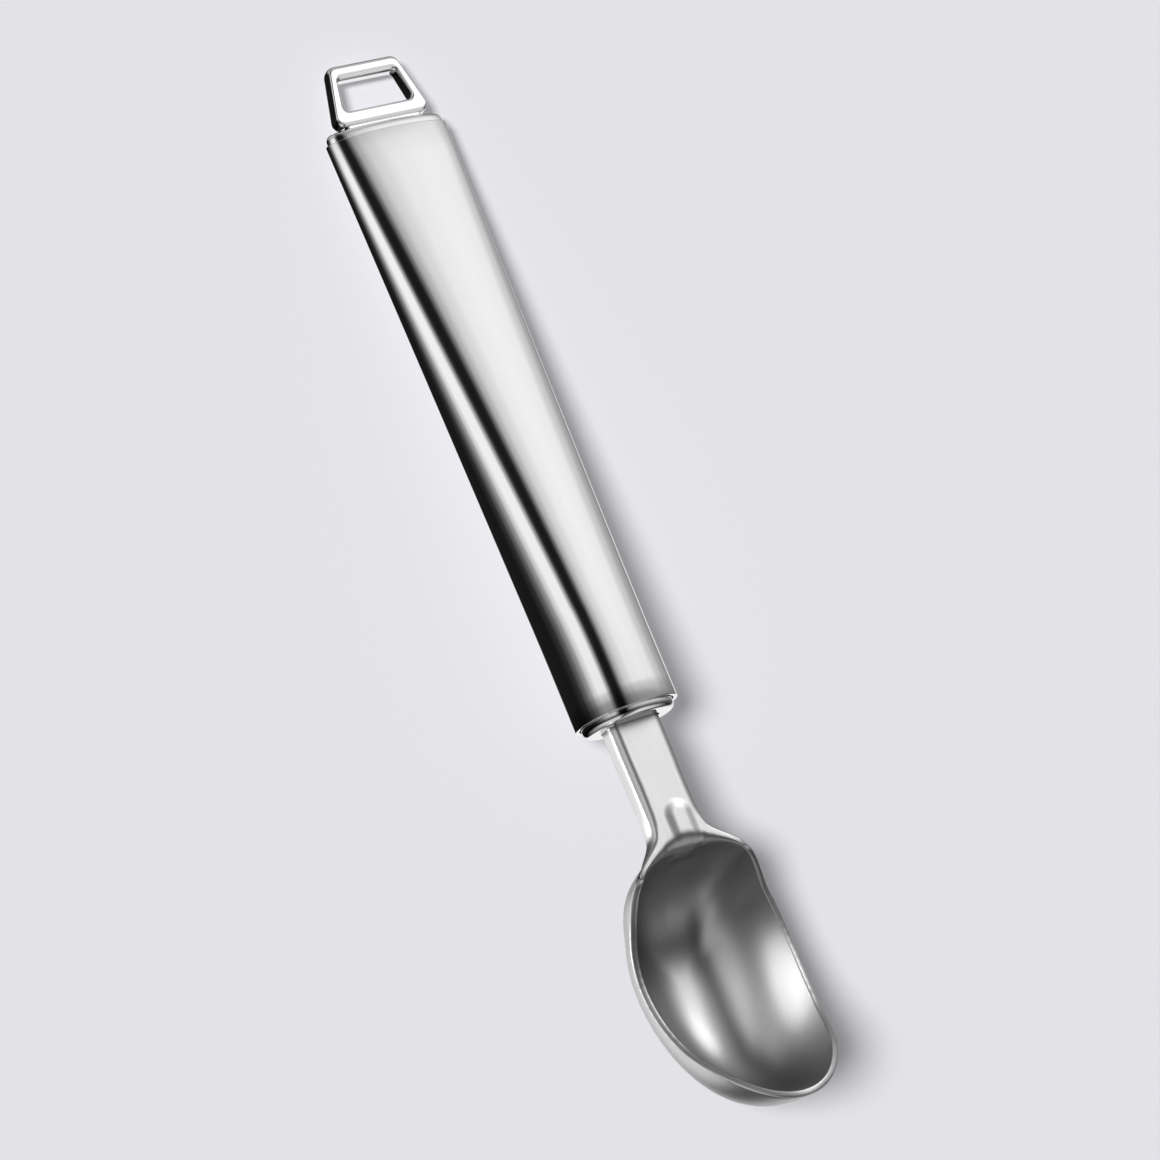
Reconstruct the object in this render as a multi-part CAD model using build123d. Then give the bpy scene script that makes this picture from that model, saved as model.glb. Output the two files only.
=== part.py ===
from build123d import *
import math
import os

# Ice scoop: a pressed steel scoop head whose channel shank is fixed into a hollow
# steel handle, which is closed by a cap at each end and carries a hanging loop.
# Everything is drawn in the handle's own frame, in millimetres: Y runs along the
# handle axis from its mouth (y = 0) to the loop, -Y is the bowl, Z is the open side.
# The finished pieces are then tilted together until they lie on the plane z = 0.

# Handle tube: elliptical, nearly round at the mouth and pressed flat towards the loop
HANDLE_LENGTH = 116.5
TUBE_WALL = 0.8
MOUTH_WIDTH = 19.8
MOUTH_THICKNESS = 16.8
REAR_WIDTH = 24.7
REAR_THICKNESS = 7.0
STRAIGHT_LENGTH = 14.0  # mouth end that keeps its section

# Front cap, a plug in the mouth of the tube
FRONT_CAP_PROUD = 1.7
FRONT_CAP_DEPTH = 8.0
FRONT_CAP_ROUND = 1.2
MOUTH_GAP = 0.25  # groove round the cap, between it and the tube
MOUTH_GAP_DEPTH = 1.2

# Rear cap, a plug with a head that covers the end of the tube
REAR_CAP_PROUD = 2.1
REAR_CAP_DEPTH = 8.0
REAR_CAP_INSET = 0.5
REAR_CAP_ROUND = 1.4
REAR_CAP_STEPS = 6  # facets in the rounded edge

# Hanging loop, a flat ring that is wide at the cap
LOOP_GAP = 0.3  # groove between the cap and the loop
LOOP_LENGTH = 12.2
LOOP_BASE_WIDTH = 19.6
LOOP_TIP_WIDTH = 14.2
LOOP_THICKNESS = 3.3
LOOP_CENTRE_Z = 0.6
LOOP_CORNER = 1.6
LOOP_EDGE_ROUND = 0.7
LOOP_SIDE = 1.9
LOOP_BASE = 2.9
LOOP_TIP = 2.7
HOLE_CORNER = 1.1
LOOP_STUB_WIDTH = 15.0
LOOP_STUB_THICKNESS = 2.0
LOOP_STUB_DEPTH = 5.0  # how far the stub goes into the cap

# Scoop head: one pressed sheet with a channel shank and a saddle-rimmed bowl
SHEET = 1.2
SHANK_WIDTH = 10.4
SHANK_DEPTH = 4.2
SHANK_TOP_Z = 2.4
SHANK_EDGE_ROUND = 1.6
TANG_LENGTH = 38.0  # part of the shank inside the handle
SHANK_LENGTH = 19.0  # from the mouth of the handle to the flare
FLARE_START_REACH = 23.4  # from the mouth of the handle to the corner of the flare
FLARE_ROUND = 6.0
SHOULDER_WIDTH = 22.8
SHOULDER_REACH = 28.6  # from the mouth of the handle to the shoulders
SHOULDER_ROUND = 2.0
SHOULDER_DEPTH = 1.9  # what is left of the flanges at the shoulders

BOWL_CENTRE_REACH = 46.4  # from the mouth of the handle to the bowl's widest place
BOWL_WIDTH = 33.5
BOWL_FRONT_LENGTH = 27.1
BOWL_BACK_LENGTH = 22.4
BOWL_TOP_Z = 15.9
BOWL_BOTTOM_Z = -19.6
BOWL_FULLNESS = 3.5  # 2 is an ellipse, more is squarer

RIM_SIDE_Z = -3.7
RIM_SIDE_REACH = 47.0
RIM_TIP_Z = 10.0
RIM_BACK_SLOPE = 0.6
RIM_RUNOUT = 1.5  # the rim's line goes on this far past the bowl
RIM_RISE = ((37.0, -2.0), (58.0, -1.4), (66.5, 5.2))  # other points: reach and height

# Bead pressed into the neck, which stiffens the bend
BEAD_WIDTH = 5.0
BEAD_START_REACH = 17.0
BEAD_LENGTH = 11.0
BEAD_RISE = 0.5

# Ways that pieces meet
PRESS_FIT = 0.0  # plugs, stub and tang are pressed or welded home
OVERCUT = 5.0  # how far a cutting body runs past what it cuts


def cross_plane(y):
    """Plane across the handle axis at y, with its own X and Y along X and Z."""
    return Plane.XZ.offset(-y)


def tube_size(y):
    """Outer width and thickness of the tube at y."""
    share = max(0.0, (y - STRAIGHT_LENGTH) / (HANDLE_LENGTH - STRAIGHT_LENGTH))
    width = MOUTH_WIDTH + share * (REAR_WIDTH - MOUTH_WIDTH)
    thickness = MOUTH_THICKNESS + share * (REAR_THICKNESS - MOUTH_THICKNESS)
    return width, thickness


def tube_section(y, inset):
    """Section of the tube at y, drawn in by inset."""
    width, thickness = tube_size(y)
    return cross_plane(y) * Ellipse(width / 2 - inset, thickness / 2 - inset)


def tube_body(inset, start, end):
    """Solid between two places along the handle, following its taper."""
    places = [start]
    if start < STRAIGHT_LENGTH < end:
        places.append(STRAIGHT_LENGTH)
    places.append(end)
    return loft([tube_section(y, inset) for y in places], ruled=True)


def handle_tube():
    outer = tube_body(0, 0, HANDLE_LENGTH)
    inner = tube_body(TUBE_WALL, 0, HANDLE_LENGTH)
    return outer - inner


def channel_section():
    """Inverted U of the shank, drawn on X and Z."""
    outer = Pos(0, SHANK_TOP_Z - SHANK_DEPTH / 2) * Rectangle(SHANK_WIDTH, SHANK_DEPTH)
    outer = fillet(outer.vertices().sort_by(Axis.Y)[-2:], SHANK_EDGE_ROUND)
    inner_top = SHANK_TOP_Z - SHEET
    inner = Pos(0, inner_top - SHANK_DEPTH / 2) * Rectangle(SHANK_WIDTH - 2 * SHEET, SHANK_DEPTH)
    inner = fillet(inner.vertices().sort_by(Axis.Y)[-2:], SHANK_EDGE_ROUND - SHEET)
    return outer - inner


def front_cap():
    land = tube_body(TUBE_WALL + PRESS_FIT, MOUTH_GAP_DEPTH, FRONT_CAP_DEPTH)
    face = tube_section(MOUTH_GAP_DEPTH, TUBE_WALL + MOUTH_GAP)
    nose = extrude(face, FRONT_CAP_PROUD + MOUTH_GAP_DEPTH)
    rim = nose.edges().group_by(Axis.Y)[0]
    nose = fillet(rim, FRONT_CAP_ROUND)
    slot = extrude(cross_plane(TANG_LENGTH) * channel_section(), TANG_LENGTH + OVERCUT)
    return land + nose - slot


def loop_stub(extra=0.0):
    """Flat tongue that joins the loop to the cap."""
    start = HANDLE_LENGTH + REAR_CAP_PROUD - LOOP_STUB_DEPTH
    end = HANDLE_LENGTH + REAR_CAP_PROUD + LOOP_GAP + extra
    tongue = Box(LOOP_STUB_WIDTH, end - start, LOOP_STUB_THICKNESS)
    return Pos(0, (start + end) / 2, LOOP_CENTRE_Z) * tongue


def rear_cap_head():
    """Visible end of the rear cap, its edge rounded over in a quarter of an arc."""
    flat = REAR_CAP_PROUD - REAR_CAP_ROUND
    sections = [(0.0, REAR_CAP_INSET)]
    for i in range(REAR_CAP_STEPS + 1):
        turn = math.pi / 2 * i / REAR_CAP_STEPS
        rise = flat + REAR_CAP_ROUND * math.sin(turn)
        inset = REAR_CAP_INSET + REAR_CAP_ROUND * (1 - math.cos(turn))
        sections.append((rise, inset))
    outlines = []
    for rise, inset in sections:
        outline = Ellipse(REAR_WIDTH / 2 - inset, REAR_THICKNESS / 2 - inset)
        outlines.append(cross_plane(HANDLE_LENGTH + rise) * outline)
    return loft(outlines, ruled=True)


def rear_cap():
    plug = tube_body(
        TUBE_WALL + PRESS_FIT, HANDLE_LENGTH - REAR_CAP_DEPTH, HANDLE_LENGTH
    )
    return plug + rear_cap_head() - loop_stub(OVERCUT)


def trapezoid(base_y, base_width, tip_y, tip_width, corner):
    """Rounded trapezoid on X and Y."""
    half_base = base_width / 2
    half_tip = tip_width / 2
    points = [(-half_base, base_y), (half_base, base_y), (half_tip, tip_y), (-half_tip, tip_y)]
    return fillet(make_face(Polyline(*points, close=True)).vertices(), corner)


def hanging_loop():
    base_y = HANDLE_LENGTH + REAR_CAP_PROUD + LOOP_GAP
    tip_y = base_y + LOOP_LENGTH
    lean = (LOOP_BASE_WIDTH - LOOP_TIP_WIDTH) / LOOP_LENGTH
    hole_base_width = LOOP_BASE_WIDTH - lean * LOOP_BASE - 2 * LOOP_SIDE
    hole_tip_width = LOOP_TIP_WIDTH + lean * LOOP_TIP - 2 * LOOP_SIDE
    outline = trapezoid(base_y, LOOP_BASE_WIDTH, tip_y, LOOP_TIP_WIDTH, LOOP_CORNER)
    hole = trapezoid(
        base_y + LOOP_BASE, hole_base_width, tip_y - LOOP_TIP, hole_tip_width, HOLE_CORNER
    )
    floor = Plane.XY.offset(LOOP_CENTRE_Z - LOOP_THICKNESS / 2)
    ring = extrude(floor * (outline - hole), LOOP_THICKNESS)
    faces = ring.faces().sort_by(Axis.Z)
    ring = fillet(faces[0].edges() + faces[-1].edges(), LOOP_EDGE_ROUND)
    return ring + loop_stub()


def bowl_profile(radius, bottom_z):
    """Half profile of the bowl on X and Z, from its lowest point to the top."""
    drop = BOWL_TOP_Z - bottom_z
    count = 14
    points = []
    for i in range(count + 1):
        turn = math.pi / 2 * i / count
        across = radius * math.sin(turn) ** (2 / BOWL_FULLNESS)
        down = drop * math.cos(turn) ** (2 / BOWL_FULLNESS)
        points.append((across, BOWL_TOP_Z - down))
    return points


def bowl_body(inset):
    """Egg-shaped solid: two half bodies of revolution, each drawn out along Y."""
    half_width = BOWL_WIDTH / 2 - inset
    points = bowl_profile(half_width, BOWL_BOTTOM_Z + inset)
    curve = Spline(points, tangents=[(1, 0), (0, 1)])
    sides = Polyline(points[-1], (0, BOWL_TOP_Z), points[0])
    turned = revolve(Plane.XZ * make_face(curve + sides), Axis.Z)
    halves = []
    for side, length in ((Keep.TOP, BOWL_FRONT_LENGTH), (Keep.BOTTOM, BOWL_BACK_LENGTH)):
        half = split(turned, Plane.XZ, keep=side)
        stretch = (length - inset) / half_width
        halves.append(scale(half, (1, stretch, 1), about=(0, 0, 0)))
    return Pos(0, -BOWL_CENTRE_REACH, 0) * (halves[0] + halves[1])


def shank_outline(inset):
    """Plan of the shank and its flare on X and Y, drawn in by inset."""
    half_shank = SHANK_WIDTH / 2
    half_shoulder = SHOULDER_WIDTH / 2
    end_y = -SHOULDER_REACH - OVERCUT
    right = FilletPolyline(
        (half_shank, TANG_LENGTH),
        (half_shank, -FLARE_START_REACH),
        (half_shoulder, -SHOULDER_REACH),
        (half_shoulder, end_y),
        radius=[FLARE_ROUND, SHOULDER_ROUND],
    )
    left = mirror(right, about=Plane.YZ)
    ends = [
        Line((-half_shank, TANG_LENGTH), (half_shank, TANG_LENGTH)),
        Line((-half_shoulder, end_y), (half_shoulder, end_y)),
    ]
    outline = make_face(right.edges() + left.edges() + ends)
    return offset(outline, -inset) if inset else outline


def flange_cut():
    """Wedge under the flare, which brings the flanges down to nothing."""
    run = SHOULDER_REACH - SHANK_LENGTH
    rise = SHANK_DEPTH - SHOULDER_DEPTH
    bottom_z = SHANK_TOP_Z - SHANK_DEPTH
    far = SHOULDER_REACH + OVERCUT
    far_z = bottom_z + rise * (far - SHANK_LENGTH) / run
    low_z = bottom_z - OVERCUT
    wedge = Polyline(
        (-SHANK_LENGTH, bottom_z), (-far, far_z), (-far, low_z), (-SHANK_LENGTH, low_z), close=True
    )
    return extrude(Plane.YZ * make_face(wedge), SHOULDER_WIDTH, both=True)


def long_top_edges(block):
    """Edges of the top face that run along its two sides."""
    top = block.faces().sort_by(Axis.Z)[-1]
    return top.edges().filter_by(lambda edge: abs(edge.center().X) > SHANK_WIDTH / 4)


def shank():
    """Channel from inside the handle to the bowl, its flanges bent down all the way."""
    floor = Plane.XY.offset(SHANK_TOP_Z - SHANK_DEPTH)
    block = extrude(floor * shank_outline(0), SHANK_DEPTH)
    block = fillet(long_top_edges(block), SHANK_EDGE_ROUND)
    tang_mouth = Pos(0, TANG_LENGTH) * Rectangle(SHANK_WIDTH - 2 * SHEET, 2 * OVERCUT)
    pocket = extrude(floor * (shank_outline(SHEET) + tang_mouth), SHANK_DEPTH - SHEET)
    pocket = fillet(long_top_edges(pocket), SHANK_EDGE_ROUND - SHEET)
    return block - pocket - flange_cut()


def above_rim():
    """Everything above the saddle-shaped rim, and above the face of the neck."""
    middle = [(-reach, z) for reach, z in RIM_RISE]
    middle.append((-RIM_SIDE_REACH, RIM_SIDE_Z))
    middle.sort(reverse=True)
    back = (-SHOULDER_REACH, SHANK_TOP_Z)
    tip = (-BOWL_CENTRE_REACH - BOWL_FRONT_LENGTH - RIM_RUNOUT, RIM_TIP_Z)
    rim = Spline([back, *middle, tip], tangents=[(-1, -RIM_BACK_SLOPE), (-1, 0)])
    start = -BOWL_CENTRE_REACH + BOWL_BACK_LENGTH + OVERCUT
    past = tip[0] - OVERCUT
    ceiling = BOWL_TOP_Z + OVERCUT
    rest = Polyline(
        tip, (past, RIM_TIP_Z), (past, ceiling), (start, ceiling), (start, SHANK_TOP_Z), back
    )
    return extrude(Plane.YZ * make_face(rim + rest), BOWL_WIDTH, both=True)


def bead():
    """Rib along the middle of the neck."""
    middle = -BEAD_START_REACH - BEAD_LENGTH / 2
    plan = Pos(0, middle) * SlotOverall(BEAD_LENGTH, BEAD_WIDTH, rotation=90)
    rib = extrude(Plane.XY.offset(SHANK_TOP_Z - SHEET / 2) * plan, SHEET / 2 + BEAD_RISE)
    top = rib.faces().sort_by(Axis.Z)[-1]
    return fillet(top.edges(), BEAD_RISE * 0.8)


def scoop_head():
    sheet = (bowl_body(0) + shank()) - above_rim()
    return sheet + bead() - bowl_body(SHEET)


def lowest(points, turn):
    """Lowest height of points on Y and Z once they are turned about X."""
    return min(y * math.sin(turn) + z * math.cos(turn) for y, z in points)


def rest_angle():
    """Turn about X, in degrees, that brings the bowl and the rear of the tube level."""
    bowl = []
    for length, sign in ((BOWL_FRONT_LENGTH, -1), (BOWL_BACK_LENGTH, 1)):
        for across, z in bowl_profile(length, BOWL_BOTTOM_Z):
            bowl.append((sign * across - BOWL_CENTRE_REACH, z))
    rear = [(HANDLE_LENGTH, -REAR_THICKNESS / 2)]
    low = -math.pi / 6
    high = math.pi / 6
    for _ in range(40):
        turn = (low + high) / 2
        if lowest(rear, turn) > lowest(bowl, turn):
            high = turn
        else:
            low = turn
    return math.degrees(turn)


def pieces():
    """All pieces, tilted to lie on z = 0 with the origin below the middle of the box."""
    made = {
        "handle_tube": handle_tube(),
        "front_cap": front_cap(),
        "rear_cap": rear_cap(),
        "hanging_loop": hanging_loop(),
        "scoop_head": scoop_head(),
    }
    tilt = Rot(rest_angle(), 0, 0)
    made = {node: tilt * solid for node, solid in made.items()}
    box = Compound(children=[Part(solid.wrapped) for solid in made.values()]).bounding_box()
    move = Pos(0, -(box.min.Y + box.max.Y) / 2, -box.min.Z)
    return {node: move * solid for node, solid in made.items()}


if __name__ == "__main__":
    os.makedirs("parts", exist_ok=True)
    for node, solid in pieces().items():
        export_step(solid, f"parts/{node}.step")
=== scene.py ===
import math

import bmesh
import bpy
from mathutils import Matrix, Vector


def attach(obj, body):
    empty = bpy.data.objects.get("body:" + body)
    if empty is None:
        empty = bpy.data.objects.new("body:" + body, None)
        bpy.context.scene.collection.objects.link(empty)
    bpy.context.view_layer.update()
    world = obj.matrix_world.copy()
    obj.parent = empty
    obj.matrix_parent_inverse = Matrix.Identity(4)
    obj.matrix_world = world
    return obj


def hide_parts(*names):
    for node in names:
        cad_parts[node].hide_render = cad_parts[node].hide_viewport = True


# Ice scoop in polished and satin steel. Every piece is drawn in the handle's own frame,
# in millimetres: Y runs along the handle from its mouth (y = 0) to the loop, -Y is the
# bowl and Z the open side. lay_down() then tilts it to where it lies, in metres.

MM = 0.001
REST_TILT = math.radians(-5.827762)
REST_SHIFT = Vector((0.0, -28.966444, 15.326757))

# Handle tube: elliptical, nearly round at the mouth and pressed flat towards the loop
HANDLE_LENGTH = 116.5
TUBE_WALL = 0.8
MOUTH_WIDTH = 19.8
MOUTH_THICKNESS = 16.8
REAR_WIDTH = 24.7
REAR_THICKNESS = 7.0
STRAIGHT_LENGTH = 14.0
TAPER_BLEND = 6.0  # length over which the straight end turns into the taper
TUBE_SEGMENTS = 256
TUBE_EDGE_ROUND = 0.16

# Front cap
FRONT_CAP_PROUD = 1.7
FRONT_CAP_DEPTH = 8.0
FRONT_CAP_ROUND = 1.2
MOUTH_GAP = 0.25
MOUTH_GAP_DEPTH = 1.2
CAP_SLOT_CLEARANCE = 0.24
CAP_SLOT_LENGTH = 2.6 * FRONT_CAP_PROUD  # the slot opens only the front of the cap
END_BORDER = 0.25  # flat border inside the edge of a cap's end face

# Rear cap
REAR_CAP_PROUD = 2.1
REAR_CAP_DEPTH = 8.0
REAR_CAP_INSET = 0.5
REAR_CAP_ROUND = 1.4

# Hanging loop
LOOP_GAP = 0.3
LOOP_LENGTH = 12.2
LOOP_BASE_WIDTH = 19.6
LOOP_TIP_WIDTH = 14.2
LOOP_THICKNESS = 3.3
LOOP_CENTRE_Z = 0.6
LOOP_CORNER = 1.6
LOOP_SQUARENESS = 4.2  # 2 is a round bar, more is squarer
LOOP_TIP_SQUARENESS = 2.7
LOOP_ARC_STEPS = 10
LOOP_SECTION_STEPS = 40
LOOP_SIDE = 1.9
LOOP_BASE = 2.9
LOOP_TIP = 3.0
HOLE_CORNER = 1.1
LOOP_STUB_WIDTH = 15.0
LOOP_STUB_THICKNESS = 2.0

# Scoop head, one pressed sheet
SHEET = 1.2
SHANK_WIDTH = 10.4
SHANK_TOP_Z = 2.4
SHANK_DEPTH = 4.2
SHANK_EDGE_ROUND = 1.6
TANG_LENGTH = 38.0
BOWL_CENTRE_Y = -46.4
BOWL_HALF_WIDTH = 16.75 - SHEET
BOWL_FRONT = 27.1 - SHEET
BOWL_BACK = 22.4 - SHEET
BOWL_TOP_Z = 15.9
BOWL_DROP = 35.5 - SHEET
WALL_FULLNESS = 3.7  # how upright the bowl stays near its rim
FLOOR_FULLNESS = 2.2  # how flat its floor is
# Height of the rim at these distances from the mouth of the handle
RIM = (
    (27.6, 2.4), (29.4, 2.0), (32.1, 0.4), (37.0, -2.0),
    (47.0, -3.7), (58.0, -1.4), (66.5, 5.2), (73.6, 10.0),
)
NECK_BEND = 3.2  # radius of the bend from the neck down into the bowl
BACK_FULLNESS = 0.07  # how much squarer the bowl is at its two back corners
BACK_CORNER = math.radians(50)
CORNER_TURN = math.radians(4)  # brings the grid's corners onto the shoulders
# Half width of the neck at these distances from the mouth of the handle
NECK = ((0.0, 5.2), (18.5, 5.2), (22.7, 6.0), (24.4, 7.2), (26.3, 9.2), (28.4, 10.9), (30.0, 11.3))
SHOULDER_LOW_Y = (-56.0, -34.0)  # where the smoothing starts and ends, first and last pass
SHOULDER_HIGH_Y = (-16.0, -22.0)
SHOULDER_DEPTH = (5.0, 2.0)
SHOULDER_X = 5.0
SHOULDER_PASSES = 16
RIM_ROUND = 0.24
BEAD_WIDTH = 6.0
BEAD_CENTRE_X = 0.8
BEAD_HEIGHT = 0.32
BEAD_START = 16.8
BEAD_END = 34.0
BEAD_FADE = 3.0  # length over which its lower end sinks into the sheet

# Head's mesh
BOWL_DIVISIONS = 96
NECK_ROWS = 60
BEND_ROWS = 14
BEND_PULL = 0.6  # how firmly the bend holds the directions of its two ends
FLANK_COLUMNS = 9
FLANK_ROUND_COLUMNS = 6
FLANK_GROWTH_ROWS = 6  # rows over which the flanges grow from the bend
STRAIGHT_SHANK_Y = -13.0  # where the head's neck has become the straight shank
SHOULDER_Y = -29.6  # where the neck's rounded edges begin
FULL_FLANGE_Y = -20.0  # where its flanges are fully turned down


def smooth_step(low, high, value):
    share = min(1.0, max(0.0, (value - low) / (high - low)))
    return share * share * (3 - 2 * share)


def mix(a, b, share):
    return a + (b - a) * share


def along(points, place):
    """Value at place on a smooth line through points of (place, value)."""
    if place <= points[0][0]:
        return points[0][1]
    if place >= points[-1][0]:
        return points[-1][1]
    slopes = []
    for i in range(len(points)):
        before = points[max(0, i - 1)]
        after = points[min(len(points) - 1, i + 1)]
        slopes.append((after[1] - before[1]) / (after[0] - before[0]))
    i = next(i for i in range(len(points) - 1) if place <= points[i + 1][0])
    (x0, v0), (x1, v1) = points[i], points[i + 1]
    span = x1 - x0
    t = (place - x0) / span
    return (
        v0 * (1 + 2 * t) * (1 - t) ** 2
        + slopes[i] * span * t * (1 - t) ** 2
        + v1 * t * t * (3 - 2 * t)
        - slopes[i + 1] * span * t * t * (1 - t)
    )


# ---------------------------------------------------------------- ways of working


def select_none():
    if bpy.context.object and bpy.context.object.mode != "OBJECT":
        bpy.ops.object.mode_set(mode="OBJECT")
    bpy.ops.object.select_all(action="DESELECT")


def take(piece):
    """Makes piece the only selected object, and the active one."""
    select_none()
    piece.select_set(True)
    bpy.context.view_layer.objects.active = piece


def apply_modifier(piece, kind, **settings):
    take(piece)
    modifier = piece.modifiers.new(kind.title(), kind)
    for name, value in settings.items():
        setattr(modifier, name, value)
    bpy.ops.object.modifier_apply(modifier=modifier.name)


def lay_down(piece):
    """Tilts a finished piece to where it lies, in metres, with its place in its mesh."""
    take(piece)
    turn = Matrix.Rotation(REST_TILT, 4, "X")
    piece.matrix_world = Matrix.Scale(MM, 4) @ Matrix.Translation(REST_SHIFT) @ turn
    bpy.ops.object.transform_apply(location=True, rotation=True, scale=True)


def finish_piece(piece, name, node, material, sharp=35.0):
    take(piece)
    piece.name = name
    piece.data.name = name
    bpy.ops.object.shade_smooth_by_angle(angle=math.radians(sharp), keep_sharp_edges=False)
    lay_down(piece)
    piece.data.materials.clear()
    piece.data.materials.append(material)
    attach(piece, "root")
    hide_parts(node)


def section_ring(half_width, half_thickness, y, segments=TUBE_SEGMENTS):
    """Starts a body with one elliptical ring across the handle axis, left in edit mode."""
    select_none()
    bpy.ops.mesh.primitive_circle_add(
        vertices=segments, radius=1.0, location=(0, 0, 0), rotation=(math.pi / 2, 0, 0)
    )
    bpy.ops.object.transform_apply(location=True, rotation=True, scale=True)
    bpy.ops.object.mode_set(mode="EDIT")
    bpy.ops.mesh.select_all(action="SELECT")
    bpy.ops.transform.resize(value=(half_width, 1, half_thickness), center_override=(0, 0, 0))
    bpy.ops.transform.translate(value=(0, y, 0))
    return bpy.context.object


def next_ring(size, new_size, y, new_y):
    """Extrudes the selected ring to new_y and resizes it there."""
    bpy.ops.mesh.extrude_region_move(TRANSFORM_OT_translate={"value": (0, new_y - y, 0)})
    factors = (new_size[0] / size[0], 1, new_size[1] / size[1])
    bpy.ops.transform.resize(value=factors, center_override=(0, new_y, 0))


def ring_body(stations):
    """Elliptical body through stations of (y, half width, half thickness), open at both ends."""
    y, half_width, half_thickness = stations[0]
    body = section_ring(half_width, half_thickness, y)
    for new_y, new_width, new_thickness in stations[1:]:
        next_ring((half_width, half_thickness), (new_width, new_thickness), y, new_y)
        y, half_width, half_thickness = new_y, new_width, new_thickness
    return body


def close_end():
    """Closes the selected end ring with a flat face inside a narrow flat border."""
    bpy.ops.mesh.edge_face_add()
    bpy.ops.mesh.inset(thickness=END_BORDER)


def close_first_end(cap, y):
    """Closes the other end ring, the one at y."""
    bpy.ops.mesh.select_all(action="DESELECT")
    mesh = bmesh.from_edit_mesh(cap.data)
    for edge in mesh.edges:
        edge.select = all(abs(v.co.y - y) < 1e-4 for v in edge.verts)
    bmesh.update_edit_mesh(cap.data)
    close_end()


def outward(piece):
    take(piece)
    bpy.ops.object.mode_set(mode="EDIT")
    bpy.ops.mesh.select_all(action="SELECT")
    bpy.ops.mesh.normals_make_consistent(inside=False)
    bpy.ops.object.mode_set(mode="OBJECT")


# ---------------------------------------------------------------- handle


def tube_size(y):
    """Half width and half thickness of the tube at y, with a soft start to the taper."""
    run = y - STRAIGHT_LENGTH
    if run <= -TAPER_BLEND:
        eased = 0.0
    elif run >= TAPER_BLEND:
        eased = run
    else:
        eased = (run + TAPER_BLEND) ** 2 / (4 * TAPER_BLEND)
    share = eased / (HANDLE_LENGTH - STRAIGHT_LENGTH)
    width = mix(MOUTH_WIDTH, REAR_WIDTH, share)
    thickness = mix(MOUTH_THICKNESS, REAR_THICKNESS, share)
    return width / 2, thickness / 2


def handle_tube(material):
    places = [0.0, 4.0, 8.0]
    places += [8.0 + 1.0 * i for i in range(1, 13)]
    places += [20.0 + (HANDLE_LENGTH - 20.0) * i / 16 for i in range(1, 17)]
    tube = ring_body([(y, *tube_size(y)) for y in places])
    outward(tube)
    apply_modifier(tube, "SOLIDIFY", thickness=TUBE_WALL, offset=-1.0, use_even_offset=True)
    apply_modifier(
        tube,
        "BEVEL",
        width=TUBE_EDGE_ROUND,
        segments=3,
        limit_method="ANGLE",
        angle_limit=math.radians(60),
    )
    finish_piece(tube, "handle_tube_drawn", "handle_tube", material)


def cap_rounding(proud, corner, half_width, half_thickness, base_y, sign, steps=7):
    """Stations of a quarter-round shoulder that ends proud of base_y."""
    stations = []
    for i in range(steps + 1):
        turn = math.pi / 2 * i / steps
        inset = corner * (1 - math.cos(turn))
        rise = proud - corner + corner * math.sin(turn)
        stations.append((base_y + sign * rise, half_width - inset, half_thickness - inset))
    return stations


def shank_cutter():
    """Block a little larger than the shank, to open the front of the cap round it."""
    select_none()
    bpy.ops.mesh.primitive_cube_add(size=1.0, location=(0, 0, SHANK_TOP_Z - SHANK_DEPTH / 2))
    block = bpy.context.object
    block.scale = (
        SHANK_WIDTH + 2 * CAP_SLOT_CLEARANCE,
        CAP_SLOT_LENGTH,
        SHANK_DEPTH + 2 * CAP_SLOT_CLEARANCE,
    )
    bpy.ops.object.transform_apply(location=True, rotation=True, scale=True)
    bpy.ops.object.mode_set(mode="EDIT")
    bpy.ops.mesh.select_all(action="DESELECT")
    mesh = bmesh.from_edit_mesh(block.data)
    for edge in mesh.edges:
        a, b = (v.co for v in edge.verts)
        along_y = abs(a.y - b.y) > 1.0
        edge.select = along_y and a.z > SHANK_TOP_Z - SHANK_DEPTH / 2
    bmesh.update_edit_mesh(block.data)
    bpy.ops.mesh.bevel(offset=SHANK_EDGE_ROUND, segments=6, affect="EDGES")
    bpy.ops.object.mode_set(mode="OBJECT")
    return block


def front_cap(material):
    half_width = MOUTH_WIDTH / 2 - TUBE_WALL
    half_thickness = MOUTH_THICKNESS / 2 - TUBE_WALL
    stations = [
        (FRONT_CAP_DEPTH, half_width, half_thickness),
        (MOUTH_GAP_DEPTH, half_width, half_thickness),
        (MOUTH_GAP_DEPTH, half_width - MOUTH_GAP, half_thickness - MOUTH_GAP),
    ]
    stations += cap_rounding(
        FRONT_CAP_PROUD, FRONT_CAP_ROUND, half_width - MOUTH_GAP, half_thickness - MOUTH_GAP, 0.0, -1
    )
    cap = ring_body(stations)
    close_end()
    close_first_end(cap, FRONT_CAP_DEPTH)
    outward(cap)
    cutter = shank_cutter()
    apply_modifier(cap, "BOOLEAN", operation="DIFFERENCE", object=cutter, solver="EXACT")
    bpy.data.objects.remove(cutter)
    finish_piece(cap, "front_cap_polished", "front_cap", material, sharp=40)


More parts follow.
